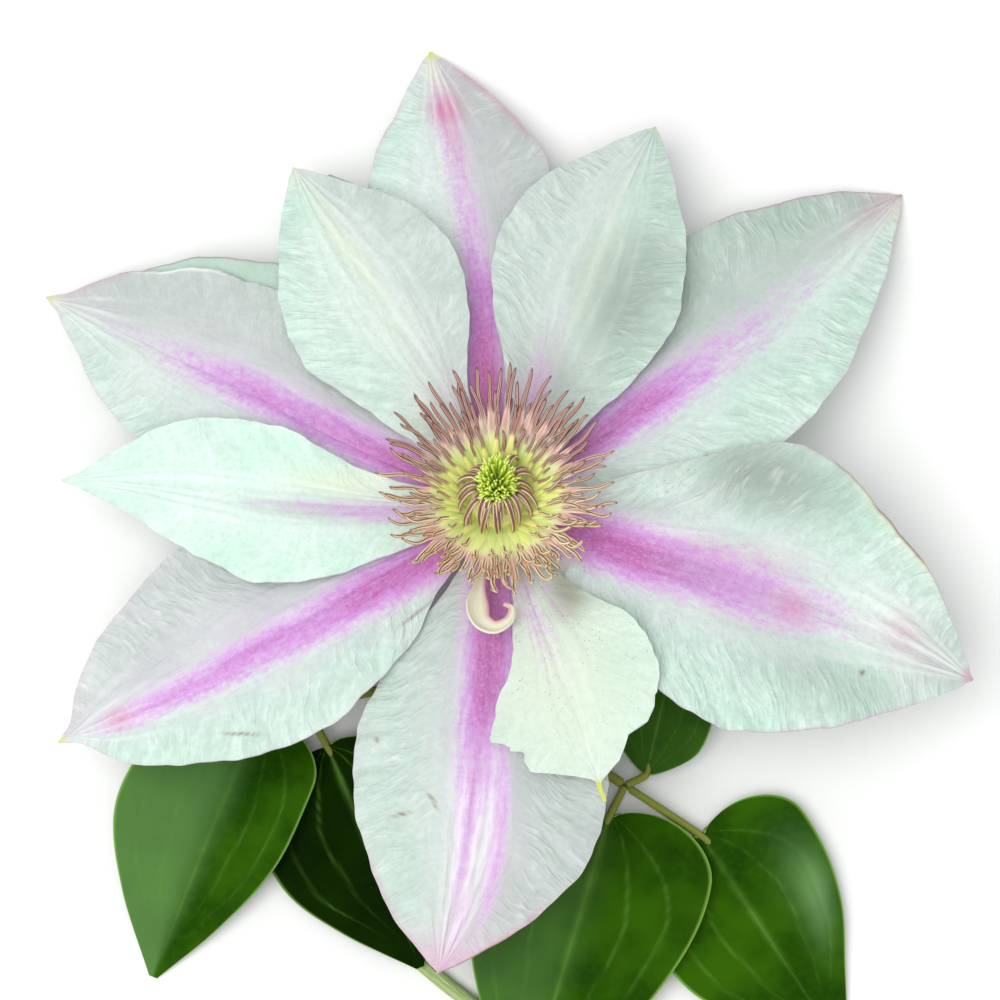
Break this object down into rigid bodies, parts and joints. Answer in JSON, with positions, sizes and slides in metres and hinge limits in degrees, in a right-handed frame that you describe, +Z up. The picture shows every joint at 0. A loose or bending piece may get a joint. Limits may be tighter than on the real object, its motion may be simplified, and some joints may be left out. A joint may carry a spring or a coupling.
{
  "type": "clematis flower",
  "caption": "Large clematis flower, picked with its stem and leaves: white sepals, some with a magenta stripe, round a boss of dark-tipped stamens.",
  "frame": {"origin": "on the surface that the flower lies on, under the middle of the part's footprint", "axes": "+Z up, away from the surface; the flower faces +Z and leans a little towards +Y; the stem and leaves lie towards -Y"},
  "size_m": [0.1796, 0.2162, 0.0436],
  "materials": {
    "sepal_white": "soft satin petal, white with a mint green tint and fine veins",
    "sepal_striped": "soft satin petal, white with a mottled magenta stripe along the midrib",
    "stamen": "cream to pink filaments with maroon anthers",
    "pistil": "lime green styles with fine hairs",
    "petaloid": "cream, thin, curled",
    "stem": "pale green, faintly ribbed stem",
    "leaf": "dark green, glossy, with pale veins"
  },
  "bodies": {
    "root": {"sepal_inner_upper_left": "sepal_white", "sepal_inner_upper_right": "sepal_white", "sepal_inner_left": "sepal_white", "sepal_inner_lower_right": "sepal_white", "sepal_outer_top": "sepal_striped", "sepal_outer_upper_right": "sepal_striped", "sepal_outer_right": "sepal_striped", "sepal_outer_bottom": "sepal_striped", "sepal_outer_lower_left": "sepal_striped", "sepal_outer_left": "sepal_striped", "stamens": "stamen", "pistil": "pistil", "petaloid_stamen": "petaloid", "stem": "stem", "leaf_left": "leaf", "leaf_right": "leaf"}
  },
  "joints": []
}
